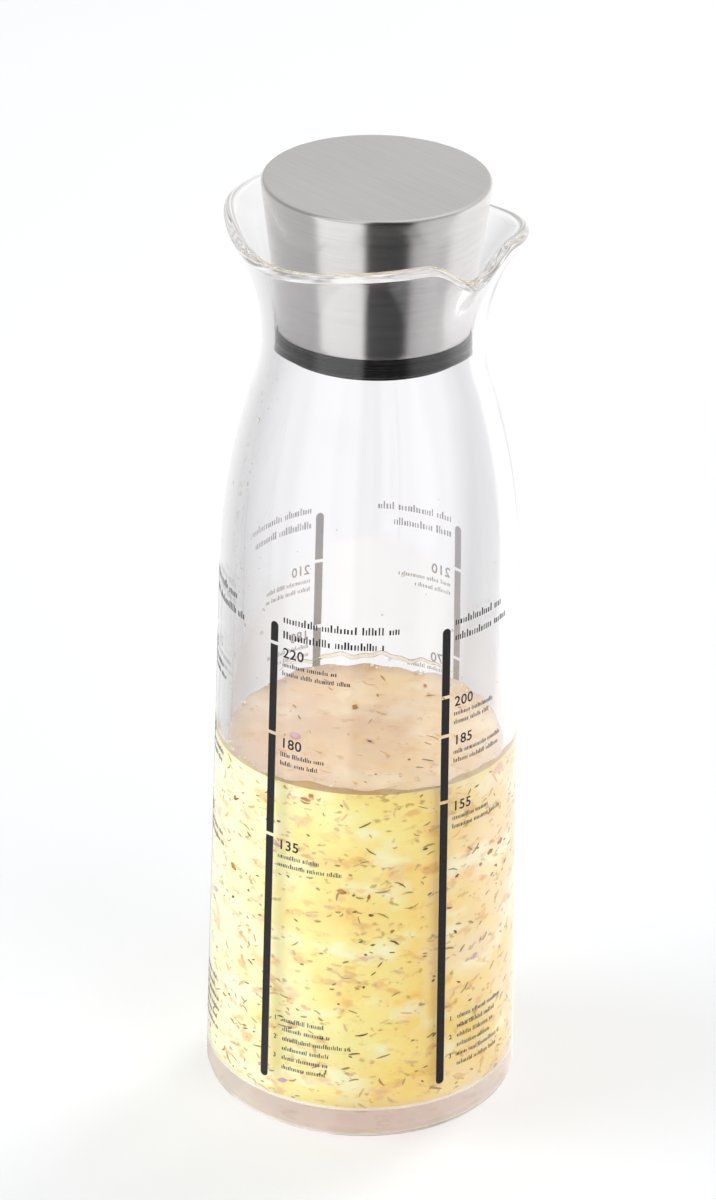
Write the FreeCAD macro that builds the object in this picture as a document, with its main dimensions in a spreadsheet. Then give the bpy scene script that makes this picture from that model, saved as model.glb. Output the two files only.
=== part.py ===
import FreeCAD, Part
import math
import os

import Sketcher

# Salad dressing shaker: a tall glass bottle with a flared, wavy rim and one
# pouring spout, closed by a tapered steel stopper with a soft seal ring.
# Millimetres. +Z is up, the origin is the centre of the foot on the surface
# that the bottle stands on, and the spout points along +X.

SIZES = [
    # Outside of the glass: a straight taper from the foot to the belly, a
    # convex shoulder, a concave neck and a concave flare above the neck
    ("base_radius", 30.0),
    ("foot_round", 4.8),
    ("belly_radius", 28.25),
    ("belly_height", 110.9),
    ("neck_radius", 20.9),
    ("neck_height", 156.5),
    ("neck_round", 28.0),
    ("flare_round", 39.0),
    ("glass_wall", 2.4),
    # Inside floor and the shallow hollow under the foot
    ("base_thickness", 5.0),
    ("floor_round", 6.0),
    ("foot_ring_width", 4.2),
    ("punt_depth", 1.2),
    # Rim: heights above the neck, and how far round from the spout they lie
    ("lip_rise", 5.5),
    ("spout_rise", 19.1),
    ("crest_rise", 23.5),
    ("dip_rise", 19.1),
    ("back_rise", 23.3),
    ("crest_angle", 20.0),
    ("dip_angle", 100.0),
    ("back_angle", 150.0),
    # Spout: pulled outwards at its middle, pinched inwards at both crests
    ("spout_reach", 2.7),
    ("spout_spread", 12.8),
    ("pinch_depth", 0.6),
    ("pinch_spread", 10.2),
    # Steel cap, measured from the bore of the neck
    ("cap_clearance", 0.6),
    ("cap_spread", 3.7),
    ("cap_height", 28.6),
    ("cap_wall", 0.6),
    ("cap_inner_round", 0.2),
    # Moulded core inside the cap
    ("bond_gap", 0.1),
    ("core_wall", 1.6),
    ("core_top_thickness", 2.0),
    ("core_chamfer", 0.8),
    ("flange_thickness", 0.8),
    ("groove_depth", 2.6),
    ("tube_wall", 1.8),
    # Seal ring, held between the core's flange and the cover
    ("seal_space", 2.7),
    ("seal_gap", 0.05),
    ("seal_lip_height", 0.9),
    ("seal_lip_chamfer", 0.25),
    ("seal_valley_depth", 0.45),
    # Cover that closes the core from below
    ("cover_step", 1.0),
    ("cover_thickness", 0.9),
    ("spigot_gap", 0.1),
    ("spigot_wall", 1.2),
    ("spigot_height", 4.0),
    # Printed measuring bars on the straight part of the glass
    ("bar_width", 1.7),
    ("bar_bottom", 11.5),
    ("bar_top_gap", 2.6),
    ("mark_gap", 0.7),
    ("print_gap", 0.02),
    ("print_thickness", 0.1),
]

# Each measuring bar: its name, its angle from the spout, and how far below
# the top of the bar its three marks lie.
BARS = [
    ("scale_bar_1", -78.7, (44.5, 23.1, 4.4)),
    ("scale_bar_2", -9.9, (36.2, 22.3, 14.2)),
    ("scale_bar_3", 98.6, (50.3, 28.3, 9.3)),
    ("scale_bar_4", 160.6, (42.3, 24.3, 10.3)),
    ("scale_bar_5", 224.0, (47.3, 30.3, 12.3)),
]

# Heights and radii that several pieces share, as sums of the sizes above.
LIP_START = "neck_height + lip_rise"
NECK_BORE = "neck_radius - glass_wall"
SEAL_TOP = "neck_height + seal_space"
CAP_EDGE = SEAL_TOP + " + flange_thickness"
CAP_TOP = CAP_EDGE + " + cap_height"
CAP_EDGE_RADIUS = NECK_BORE + " - cap_clearance"
CAP_TOP_RADIUS = CAP_EDGE_RADIUS + " + cap_spread"
CORE_TOP = CAP_TOP + " - cap_wall - bond_gap"
CORE_EDGE_RADIUS = CAP_EDGE_RADIUS + " - cap_wall - bond_gap"
CORE_TOP_RADIUS = CAP_TOP_RADIUS + " - cap_wall - bond_gap"
FLANGE_RADIUS = CAP_EDGE_RADIUS + " - bond_gap"
GROOVE_RADIUS = FLANGE_RADIUS + " - groove_depth"
CORE_BORE = GROOVE_RADIUS + " - tube_wall"

# Ends and centre of a sketch edge, and the sketch axes.
START = 1
END = 2
CENTRE = 3
FLAT_AXIS = -1
UPRIGHT_AXIS = -2

# The wavy rim is drawn through this many points, and its walls and crest
# through sections at these shares and turns.
RIM_POINTS = 72
WALL_SHARES = (0.25, 0.5, 0.75)
CREST_TURNS = (45, 90, 135)
JOIN_TOLERANCE = 0.0005

doc = FreeCAD.newDocument("shaker")
sheet = doc.addObject("Spreadsheet::Sheet", "Sizes")
rows = list(SIZES)
for bar_name, bar_angle, bar_marks in BARS:
    rows.append((bar_name + "_angle", bar_angle))
    for number, drop in enumerate(bar_marks, start=1):
        rows.append(("%s_mark_%d" % (bar_name, number), drop))
for row, (alias, amount) in enumerate(rows, start=1):
    sheet.set("A%d" % row, alias)
    sheet.set("B%d" % row, str(amount))
    sheet.setAlias("B%d" % row, alias)
doc.recompute()


def signed_names(text):
    """Split 'a - b + c' into its size names, each with its sign."""
    words = text.split()
    signs = [1] + [1 if word == "+" else -1 for word in words[1::2]]
    return list(zip(signs, words[0::2]))


def value(text):
    """The number that a sum of sizes stands for."""
    return sum(sign * sheet.get(name) for sign, name in signed_names(text))


def expression(text):
    """The same sum, written so that it follows the sheet."""
    return " ".join("Sizes." + word if len(word) > 1 else word for word in text.split())


def new_body(name):
    """An empty body with its name as label."""
    body = doc.addObject("PartDesign::Body", name)
    body.Label = name
    return body


def new_sketch(body, name):
    """An empty sketch on the body's own upright plane: radius across, height up."""
    sketch = body.newObject("Sketcher::SketchObject", name)
    planes = [item for item in body.Origin.OriginFeatures if item.Role == "XZ_Plane"]
    sketch.AttachmentSupport = [(planes[0], "")]
    sketch.MapMode = "FlatFace"
    return sketch


def bind(sketch, kind, places, text):
    """Add a constraint whose size follows the sheet."""
    index = sketch.addConstraint(Sketcher.Constraint(kind, *places, value(text)))
    sketch.setExpression("Constraints[%d]" % index, expression(text))


def pin(sketch, edge, end, across, up):
    """Hold an end of an edge at a radius and a height; None is the axis or the base."""
    if across is None:
        sketch.addConstraint(Sketcher.Constraint("PointOnObject", edge, end, UPRIGHT_AXIS))
    else:
        bind(sketch, "DistanceX", (FLAT_AXIS, START, edge, end), across)
    if up is None:
        sketch.addConstraint(Sketcher.Constraint("PointOnObject", edge, end, FLAT_AXIS))
    else:
        bind(sketch, "DistanceY", (FLAT_AXIS, START, edge, end), up)


def meet(sketch, kind, first, first_end, second, second_end):
    """Let two edges meet at their ends, smoothly for Tangent."""
    sketch.addConstraint(Sketcher.Constraint(kind, first, first_end, second, second_end))


def revolve(body, sketch, name):
    """Turn a sketch once round the upright axis."""
    feature = body.newObject("PartDesign::Revolution", name)
    feature.Profile = sketch
    feature.ReferenceAxis = (sketch, ["V_Axis"])
    feature.Angle = 360
    sketch.Visibility = False
    return feature


def turned_body(name, corners):
    """A body turned from a straight-sided outline of (radius, height) corners."""
    body = new_body(name)
    sketch = new_sketch(body, name + "_outline")
    spots = []
    for across, up in corners:
        spots.append(FreeCAD.Vector(value(across) if across else 0, value(up), 0))
    count = len(spots)
    for index in range(count):
        sketch.addGeometry(Part.LineSegment(spots[index], spots[(index + 1) % count]))
    for index in range(count):
        meet(sketch, "Coincident", index, END, (index + 1) % count, START)
    for index, (across, up) in enumerate(corners):
        pin(sketch, index, START, across, up)
    revolve(body, sketch, name + "_turned")
    doc.recompute()
    return body


def edges_at(feature, across, up):
    """Names of the circular edges of a feature at a radius and a height."""
    found = []
    for number, edge in enumerate(feature.Shape.Edges, start=1):
        if not isinstance(edge.Curve, Part.Circle):
            continue
        off = math.hypot(edge.Curve.Radius - value(across), edge.Curve.Center.z - value(up))
        if off < JOIN_TOLERANCE:
            found.append("Edge%d" % number)
    return found


def soften(body, kind, name, across, up, text):
    """Round or chamfer the circular edge of a body at a radius and a height."""
    before = body.Tip
    feature = body.newObject(kind, name)
    feature.Base = (before, edges_at(before, across, up))
    measure = "Radius" if kind.endswith("Fillet") else "Size"
    feature.setExpression(measure, expression(text))
    before.Visibility = False
    doc.recompute()


def flat(across, up):
    """A point of an outline."""
    return FreeCAD.Vector(across, up, 0)


def arc(middle, radius, first, last):
    """An arc of an outline between two directions in radians, anticlockwise."""
    return Part.ArcOfCircle(Part.Circle(middle, FreeCAD.Vector(0, 0, 1), radius), first, last)


# Wall of the bottle: one closed outline, turned round the axis. The outside
# and the inside keep the same centres, so that the wall is even.
wall = value("glass_wall")
foot_point = flat(value("base_radius"), value("foot_round"))
belly_point = flat(value("belly_radius"), value("belly_height"))
taper = math.atan2(foot_point.x - belly_point.x, belly_point.y - foot_point.y)
outwards = flat(math.cos(taper), math.sin(taper))

foot_arc_radius = value("foot_round") / (1 + outwards.y)
foot_centre = foot_point - outwards * foot_arc_radius

neck_round = value("neck_round")
neck_centre = flat(value("neck_radius + neck_round"), value("neck_height"))
to_neck = neck_centre - belly_point
shoulder_round = (to_neck.dot(to_neck) - neck_round ** 2) / (2 * (neck_round - to_neck.dot(outwards)))
shoulder_centre = belly_point - outwards * shoulder_round
shoulder_turn = math.atan2(neck_centre.y - shoulder_centre.y, neck_centre.x - shoulder_centre.x)

flare_round = value("flare_round")
flare_centre = flat(value("neck_radius + flare_round"), value("neck_height"))
lip_rise = value("lip_rise")
flare_turn = math.pi - math.asin(lip_rise / flare_round)
inner_flare_turn = math.pi - math.asin(lip_rise / (flare_round + wall))

floor_round = value("floor_round")
corner_height = value("base_thickness + floor_round")
inset = wall + floor_round + (corner_height - belly_point.y) * outwards.y
corner_centre = flat(belly_point.x - inset / outwards.x, corner_height)

punt_radius = value("base_radius - foot_round - foot_ring_width")
punt_depth = value("punt_depth")
punt_round = (punt_radius ** 2 + punt_depth ** 2) / (2 * punt_depth)
punt_centre = flat(0, punt_depth - punt_round)
punt_turn = math.acos(punt_radius / punt_round)

neck_in_round = neck_round + wall
shoulder_in_round = shoulder_round - wall
flare_in_round = flare_round + wall
outline = [
    arc(punt_centre, punt_round, punt_turn, math.pi / 2),
    Part.LineSegment(flat(punt_radius, 0), flat(foot_centre.x, 0)),
    arc(foot_centre, foot_arc_radius, -math.pi / 2, taper),
    Part.LineSegment(foot_point, belly_point),
    arc(shoulder_centre, shoulder_round, taper, shoulder_turn),
    arc(neck_centre, neck_round, math.pi, math.pi + shoulder_turn),
    arc(flare_centre, flare_round, flare_turn, math.pi),
    None,
    arc(flare_centre, flare_in_round, inner_flare_turn, math.pi),
    arc(neck_centre, neck_in_round, math.pi, math.pi + shoulder_turn),
    arc(shoulder_centre, shoulder_in_round, taper, shoulder_turn),
    None,
    arc(corner_centre, floor_round, -math.pi / 2, taper),
    Part.LineSegment(flat(corner_centre.x, value("base_thickness")), flat(0, value("base_thickness"))),
    Part.LineSegment(flat(0, value("base_thickness")), flat(0, punt_depth)),
]
PUNT, RING, FOOT, TAPER, SHOULDER, NECK, FLARE, MOUTH = range(8)
FLARE_IN, NECK_IN, SHOULDER_IN, TAPER_IN, CORNER, FLOOR, AXIS = range(8, 15)
outline[MOUTH] = Part.LineSegment(outline[FLARE].StartPoint, outline[FLARE_IN].StartPoint)
outline[TAPER_IN] = Part.LineSegment(outline[SHOULDER_IN].StartPoint, outline[CORNER].EndPoint)

wall_body = new_body("bottle_wall")
wall_sketch = new_sketch(wall_body, "wall_outline")
for edge in outline:
    wall_sketch.addGeometry(edge)

# Underside and foot
pin(wall_sketch, PUNT, END, None, "punt_depth")
wall_sketch.addConstraint(Sketcher.Constraint("PointOnObject", PUNT, CENTRE, UPRIGHT_AXIS))
meet(wall_sketch, "Coincident", PUNT, START, RING, START)
pin(wall_sketch, RING, START, "base_radius - foot_round - foot_ring_width", None)
wall_sketch.addConstraint(Sketcher.Constraint("PointOnObject", RING, END, FLAT_AXIS))
meet(wall_sketch, "Tangent", RING, END, FOOT, START)
meet(wall_sketch, "Tangent", FOOT, END, TAPER, START)

# Outside, from the foot up to the start of the lip
pin(wall_sketch, TAPER, START, "base_radius", "foot_round")
pin(wall_sketch, TAPER, END, "belly_radius", "belly_height")
meet(wall_sketch, "Tangent", TAPER, END, SHOULDER, START)
meet(wall_sketch, "Tangent", SHOULDER, END, NECK, END)
bind(wall_sketch, "Radius", (NECK,), "neck_round")
pin(wall_sketch, NECK, START, "neck_radius", "neck_height")
bind(wall_sketch, "DistanceY", (FLAT_AXIS, START, NECK, CENTRE), "neck_height")
meet(wall_sketch, "Tangent", NECK, START, FLARE, END)
bind(wall_sketch, "Radius", (FLARE,), "flare_round")
bind(wall_sketch, "DistanceY", (FLAT_AXIS, START, FLARE, START), LIP_START)

# Inside, from the start of the lip down to the floor
meet(wall_sketch, "Coincident", FLARE, START, MOUTH, START)
meet(wall_sketch, "Coincident", MOUTH, END, FLARE_IN, START)
wall_sketch.addConstraint(Sketcher.Constraint("Horizontal", MOUTH))
meet(wall_sketch, "Coincident", FLARE_IN, CENTRE, FLARE, CENTRE)
bind(wall_sketch, "Radius", (FLARE_IN,), "flare_round + glass_wall")
bind(wall_sketch, "DistanceY", (FLAT_AXIS, START, FLARE_IN, END), "neck_height")
meet(wall_sketch, "Tangent", FLARE_IN, END, NECK_IN, START)
bind(wall_sketch, "Radius", (NECK_IN,), "neck_round + glass_wall")
meet(wall_sketch, "Tangent", NECK_IN, END, SHOULDER_IN, END)
meet(wall_sketch, "Coincident", SHOULDER_IN, CENTRE, SHOULDER, CENTRE)
meet(wall_sketch, "Tangent", SHOULDER_IN, START, TAPER_IN, START)
wall_sketch.addConstraint(Sketcher.Constraint("Parallel", TAPER_IN, TAPER))
meet(wall_sketch, "Tangent", TAPER_IN, END, CORNER, END)
bind(wall_sketch, "Radius", (CORNER,), "floor_round")
meet(wall_sketch, "Tangent", CORNER, START, FLOOR, START)
pin(wall_sketch, FLOOR, END, None, "base_thickness")
wall_sketch.addConstraint(Sketcher.Constraint("Horizontal", FLOOR))
meet(wall_sketch, "Coincident", FLOOR, END, AXIS, START)
meet(wall_sketch, "Coincident", AXIS, END, PUNT, END)
revolve(wall_body, wall_sketch, "wall_turned")
doc.recompute()


def blend(low, high, share):
    """Go from one height to another in a smooth half wave."""
    return low + (high - low) * (1 - math.cos(math.pi * share)) / 2


def rim_rise(angle):
    """Height of the outer edge of the rim above the neck."""
    stops = [
        (0.0, value("spout_rise")),
        (value("crest_angle"), value("crest_rise")),
        (value("dip_angle"), value("dip_rise")),
        (value("back_angle"), value("back_rise")),
    ]
    away = abs(angle)
    for (first, low), (last, high) in zip(stops, stops[1:]):
        if away < last:
            return blend(low, high, (away - first) / (last - first))
    return stops[-1][1]


def spout_pull(angle):
    """How far the spout draws the rim outwards, or its pinched sides inwards."""
    away = abs(angle)
    drawn = value("spout_reach") * math.exp(-(away / value("spout_spread")) ** 2)
    beside = (away - value("crest_angle")) / value("pinch_spread")
    return drawn - value("pinch_depth") * math.exp(-beside ** 2)


def lip_wall_point(angle, radius, rise, share):
    """Radius and rise of a point on a face of the lip, at a share of its height."""
    lifted = lip_rise + share * (rise - lip_rise)
    across = flare_centre.x - math.sqrt(radius ** 2 - lifted ** 2)
    return across + spout_pull(angle) * share ** 2, lifted


def lip_point(angle, face, amount):
    """Radius and rise of a point on the outer face, the inner face or the crest."""
    rise = rim_rise(angle)
    lean = math.asin(rise / flare_round)
    edge_across, edge_rise = lip_wall_point(angle, flare_round, rise, 1)
    inwards = (-math.cos(lean), math.sin(lean))
    if face == "outer":
        return lip_wall_point(angle, flare_round, edge_rise, amount)
    if face == "inner":
        return lip_wall_point(angle, flare_in_round, edge_rise + wall * inwards[1], amount)
    turn = math.radians(amount)
    along = wall / 2 * (1 - math.cos(turn))
    above = wall / 2 * math.sin(turn)
    across = edge_across + inwards[0] * along + math.sin(lean) * above
    return across, edge_rise + inwards[1] * along + math.cos(lean) * above


def ring(place):
    """A closed smooth curve through one point at each angle round the rim."""
    points = []
    for index in range(RIM_POINTS):
        angle = 360 * index / RIM_POINTS
        across, rise = place(angle if angle < 180 else angle - 360)
        turn = math.radians(angle)
        height = value("neck_height") + rise
        points.append(FreeCAD.Vector(across * math.cos(turn), across * math.sin(turn), height))
    steps = [index / RIM_POINTS for index in range(RIM_POINTS + 1)]
    curve = Part.BSplineCurve()
    curve.interpolate(points, PeriodicFlag=True, Parameters=steps)
    return Part.Wire([curve.toShape()])


def lip_ring(face, amount):
    """A ring round the lip on one of its faces."""
    return ring(lambda angle: lip_point(angle, face, amount))


def round_ring(across):
    """A level circle at the start of the lip."""
    return ring(lambda angle: (across, lip_rise))


# Lip: three lofted skins and a flat ring underneath. Its rim rises and falls,
# so no flat sketch can hold its sections.
outer_start = round_ring(outline[FLARE].StartPoint.x)
inner_start = round_ring(outline[FLARE_IN].StartPoint.x)
outer_edge = lip_ring("crest", 0)
inner_edge = lip_ring("crest", 180)
outer_rings = [outer_start] + [lip_ring("outer", share) for share in WALL_SHARES] + [outer_edge]
crest_rings = [outer_edge] + [lip_ring("crest", turn) for turn in CREST_TURNS] + [inner_edge]
inner_rings = [inner_start] + [lip_ring("inner", share) for share in WALL_SHARES] + [inner_edge]
lip_faces = [Part.makeFace([outer_start, inner_start], "Part::FaceMakerBullseye")]
for rings in (outer_rings, crest_rings, inner_rings):
    lip_faces.extend(Part.makeLoft(rings, False, False).Faces)
lip_skin = Part.makeShell(lip_faces)
lip_skin.sewShape()
lip_shell = lip_skin.Shells[0]
glass_carafe = doc.addObject("Part::Feature", "glass_carafe")
glass_carafe.Label = "glass_carafe"
lip_solid = Part.makeSolid(lip_shell)
if lip_solid.Volume < 0:
    lip_solid.reverse()
glass_carafe.Shape = wall_body.Shape.multiFuse([lip_solid], JOIN_TOLERANCE).Solids[0]
glass_carafe.Placement = FreeCAD.Placement()

# Steel cap: a thin tapered cup, open at the bottom
cap_shell = turned_body("cap_shell", [
    (None, CAP_TOP),
    (None, CAP_TOP + " - cap_wall"),
    (CAP_TOP_RADIUS + " - cap_wall", CAP_TOP + " - cap_wall"),
    (CAP_EDGE_RADIUS + " - cap_wall", CAP_EDGE),
    (CAP_EDGE_RADIUS, CAP_EDGE),
    (CAP_TOP_RADIUS, CAP_TOP),
])
soften(cap_shell, "PartDesign::Fillet", "cap_outer_fillet", CAP_TOP_RADIUS, CAP_TOP,
       "cap_inner_round + cap_wall")
soften(cap_shell, "PartDesign::Fillet", "cap_inner_fillet", CAP_TOP_RADIUS + " - cap_wall",
       CAP_TOP + " - cap_wall", "cap_inner_round")

# Core: fills the cap, carries its edge on a flange and ends in a short tube
plug_core = turned_body("plug_core", [
    (None, CORE_TOP),
    (None, CORE_TOP + " - core_top_thickness"),
    (CORE_TOP_RADIUS + " - core_wall", CORE_TOP + " - core_top_thickness"),
    (CORE_EDGE_RADIUS + " - core_wall", CAP_EDGE + " + core_wall"),
    (CORE_BORE, CAP_EDGE + " + core_wall"),
    (CORE_BORE, "neck_height"),
    (GROOVE_RADIUS, "neck_height"),
    (GROOVE_RADIUS, SEAL_TOP),
    (FLANGE_RADIUS, SEAL_TOP),
    (FLANGE_RADIUS, CAP_EDGE),
    (CORE_EDGE_RADIUS, CAP_EDGE),
    (CORE_TOP_RADIUS, CORE_TOP),
])
soften(plug_core, "PartDesign::Chamfer", "core_top_chamfer", CORE_TOP_RADIUS, CORE_TOP, "core_chamfer")

# Seal ring: two chamfered lips with a valley between them
SEAL_LOW = "neck_height + seal_gap"
SEAL_HIGH = SEAL_TOP + " - seal_gap"
SEAL_BORE = GROOVE_RADIUS + " + seal_gap"
SEAL_RADIUS = NECK_BORE + " - seal_gap"
SEAL_CHAMFERED = SEAL_RADIUS + " - seal_lip_chamfer"
SEAL_VALLEY = SEAL_RADIUS + " - seal_valley_depth"
seal_ring = turned_body("seal_ring", [
    (SEAL_BORE, SEAL_HIGH),
    (SEAL_BORE, SEAL_LOW),
    (SEAL_CHAMFERED, SEAL_LOW),
    (SEAL_RADIUS, SEAL_LOW + " + seal_lip_chamfer"),
    (SEAL_RADIUS, SEAL_LOW + " + seal_lip_height - seal_lip_chamfer"),
    (SEAL_CHAMFERED, SEAL_LOW + " + seal_lip_height"),
    (SEAL_VALLEY, SEAL_LOW + " + seal_lip_height"),
    (SEAL_VALLEY, SEAL_HIGH + " - seal_lip_height"),
    (SEAL_CHAMFERED, SEAL_HIGH + " - seal_lip_height"),
    (SEAL_RADIUS, SEAL_HIGH + " - seal_lip_height + seal_lip_chamfer"),
    (SEAL_RADIUS, SEAL_HIGH + " - seal_lip_chamfer"),
    (SEAL_CHAMFERED, SEAL_HIGH),
])

# Cover: a disc under the core with a spigot that reaches up into its bore
COVER_RADIUS = CAP_EDGE_RADIUS + " - cover_step"
SPIGOT_RADIUS = CORE_BORE + " - spigot_gap"
plug_cover = turned_body("plug_cover", [
    (None, "neck_height"),
    (None, "neck_height - cover_thickness"),
    (COVER_RADIUS, "neck_height - cover_thickness"),
    (COVER_RADIUS, "neck_height"),
    (SPIGOT_RADIUS, "neck_height"),
    (SPIGOT_RADIUS, "neck_height + spigot_height"),
    (SPIGOT_RADIUS + " - spigot_wall", "neck_height + spigot_height"),
    (SPIGOT_RADIUS + " - spigot_wall", "neck_height"),
])


def add_solid(kind, name, amounts):
    """A simple solid whose sizes and place follow the sheet."""
    solid = doc.addObject(kind, name)
    for field, text in amounts.items():
        solid.setExpression(field, text)
    solid.Visibility = False
    return solid


def wall_radius_text(height, extra):
    """Expression for the radius of the straight glass wall at a height, plus a gap."""
    slope = "(Sizes.base_radius - Sizes.belly_radius) / (Sizes.belly_height - Sizes.foot_round)"
    return "Sizes.belly_radius + %s * (Sizes.belly_height - (%s)) + %s" % (slope, height, extra)


# Measuring bars: thin printed strips that follow the glass. A shared conical
# sleeve gives their thickness; upright bands cut each bar out of it.
BAR_LOW = "Sizes.bar_bottom"
BAR_HIGH = "(Sizes.belly_height - Sizes.bar_top_gap)"
PRINT_OUTSIDE = "Sizes.print_gap + Sizes.print_thickness"
sleeve_skins = []
for skin_name, extra in (("print_outside", PRINT_OUTSIDE), ("print_inside", "Sizes.print_gap")):
    sleeve_skins.append(add_solid("Part::Cone", skin_name, {
        "Radius1": wall_radius_text(BAR_LOW, extra),
        "Radius2": wall_radius_text(BAR_HIGH, extra),
        "Height": "%s - %s" % (BAR_HIGH, BAR_LOW),
        "Placement.Base.z": BAR_LOW,
    }))
sleeve = doc.addObject("Part::Cut", "print_sleeve")
sleeve.Base = sleeve_skins[0]
sleeve.Tool = sleeve_skins[1]
sleeve.Visibility = False
doc.recompute()

scale_bars = []
for bar_name, bar_angle, bar_marks in BARS:
    marks = ["%s - Sizes.%s_mark_%d" % (BAR_HIGH, bar_name, number + 1) for number in range(len(bar_marks))]
    lows = [BAR_LOW + " + Sizes.bar_width / 2"] + [mark + " + Sizes.mark_gap / 2" for mark in marks]
    highs = [mark + " - Sizes.mark_gap / 2" for mark in marks] + [BAR_HIGH + " - Sizes.bar_width / 2"]
    pieces = []
    for number, (low, high) in enumerate(zip(lows, highs), start=1):
        pieces.append(add_solid("Part::Box", "%s_band_%d" % (bar_name, number), {
            "Length": "Sizes.base_radius * 2",
            "Width": "Sizes.bar_width",
            "Height": "%s - (%s)" % (high, low),
            "Placement.Base.y": "-Sizes.bar_width / 2",
            "Placement.Base.z": low,
        }))
    for end_name, height in (("foot", lows[0]), ("head", highs[-1])):
        rounded = add_solid("Part::Cylinder", "%s_%s" % (bar_name, end_name), {
            "Radius": "Sizes.bar_width / 2",
            "Height": "Sizes.base_radius * 2",
            "Placement.Base.z": height,
        })
        rounded.Placement.Rotation = FreeCAD.Rotation(FreeCAD.Vector(0, 1, 0), 90)
        pieces.append(rounded)
    bands = doc.addObject("Part::MultiFuse", bar_name + "_bands")
    bands.Shapes = pieces
    bands.Visibility = False
    bar = doc.addObject("Part::Common", bar_name)
    bar.Label = bar_name
    bar.Base = sleeve
    bar.Tool = bands
    bar.Placement.Rotation = FreeCAD.Rotation(FreeCAD.Vector(0, 0, 1), 0)
    bar.setExpression("Placement.Rotation.Angle", "Sizes.%s_angle" % bar_name)
    scale_bars.append(bar)
doc.recompute()

# Every object must be sound before any piece is written.
for item in doc.Objects:
    if "Invalid" in item.State or "Error" in item.State:
        raise ValueError("not computed: " + item.Label)
nodes = [glass_carafe, cap_shell, plug_core, seal_ring, plug_cover] + scale_bars
os.makedirs("parts", exist_ok=True)
for node in nodes:
    if node.Shape.isNull() or not node.Shape.isValid():
        raise ValueError("not sound: " + node.Label)
    node.Shape.exportStep("parts/%s.step" % node.Label)
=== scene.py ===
import math
import random

import bmesh
import bpy
from mathutils import Matrix, Vector


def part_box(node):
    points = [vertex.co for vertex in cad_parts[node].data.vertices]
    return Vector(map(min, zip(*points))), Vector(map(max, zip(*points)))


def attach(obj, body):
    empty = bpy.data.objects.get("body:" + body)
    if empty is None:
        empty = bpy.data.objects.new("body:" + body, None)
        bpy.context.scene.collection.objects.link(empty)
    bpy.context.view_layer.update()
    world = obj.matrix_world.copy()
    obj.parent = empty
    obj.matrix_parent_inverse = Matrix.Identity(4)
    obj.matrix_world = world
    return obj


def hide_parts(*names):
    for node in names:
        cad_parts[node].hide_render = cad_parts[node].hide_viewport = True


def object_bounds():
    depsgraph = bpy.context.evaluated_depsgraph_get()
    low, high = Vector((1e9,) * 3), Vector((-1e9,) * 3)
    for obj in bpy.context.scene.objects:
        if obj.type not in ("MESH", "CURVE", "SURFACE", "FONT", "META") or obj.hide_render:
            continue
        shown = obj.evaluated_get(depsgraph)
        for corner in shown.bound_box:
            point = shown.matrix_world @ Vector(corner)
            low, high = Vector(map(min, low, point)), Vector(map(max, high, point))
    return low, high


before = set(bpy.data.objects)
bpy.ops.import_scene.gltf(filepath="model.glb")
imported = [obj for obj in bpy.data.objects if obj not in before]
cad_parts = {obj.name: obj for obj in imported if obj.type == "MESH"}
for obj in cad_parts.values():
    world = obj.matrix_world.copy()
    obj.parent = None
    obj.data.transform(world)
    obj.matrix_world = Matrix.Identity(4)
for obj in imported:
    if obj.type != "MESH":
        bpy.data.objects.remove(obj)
cad_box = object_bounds()

# The looks of a glass dressing shaker with a push-in steel stopper. Sizes are worked
# out in millimetres, and each mesh is scaled to metres when it is made.
MM = 0.001

# The glass, with the same shape as the solid one.
BASE_R = cad_box[1][1] / MM
FOOT = 4.8
BELLY_R = 28.25
BELLY_Z = 110.9
NECK_R = 20.9
NECK_Z = 156.5
NECK_ROUND = 28.0
FLARE_ROUND = 39.0
WALL = 2.4
FLOOR_Z = 5.0
FLOOR_ROUND = 6.0
RING_WIDTH = 4.2
PUNT = 1.2
LIP_RISE = 5.5
RIM_STOPS = [(0.0, 19.1), (20.0, 23.5), (100.0, 19.1), (150.0, 23.3)]
REACH = 2.7
SPREAD = 12.8
PINCH = 0.6
PINCH_SPREAD = 10.2
PINCH_ANGLE = 20.0
STEPS = 240

# The dressing inside: its level, and how far it and its flakes reach into the glass so
# that no air shows between them.
LEVEL = 74.5
EDGE_RISE = 1.2
GRIP = 0.08
FLAKE_GRIP = 0.13
FLAKE_THICK = 0.05
# Below this height the dressing has a paler copy that glows: painted light on its underside, which lies in
# shade.
FOOT_LIGHT = FLOOR_Z + 1.7
# Above this height, where the dressing climbs the glass, it has a darker copy: painted shade along its edge.
EDGE_SHADE = LEVEL + 0.2

# A ray that has turned this often inside the glass counts as caught in it.
LONG_PATH = 8

# Printed colour on the glass.
PRINT_LIFT = 0.06
PRINT_THICK = 0.03
BAR_TOP = BELLY_Z - 2.6
TEXT_START = 2.0
NUMBER_TALL = 2.0
TITLE_TALL = 1.55
SMALL_TALL = 0.95

# The photographed view: the frame in pixels, and where the camera stands.
FRAME_WIDE = 716
FRAME_TALL = 1200
FOCAL_PIXELS = 6607
AIM_PIXEL = (367.9, 633.5)
AIM = Vector((0, 0, 0.095))
CAMERA_SIDE = math.radians(-41)
CAMERA_RISE = math.radians(26.33)
CAMERA_ROLL = math.radians(1.13)
CAMERA_AWAY = 1.256

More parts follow.
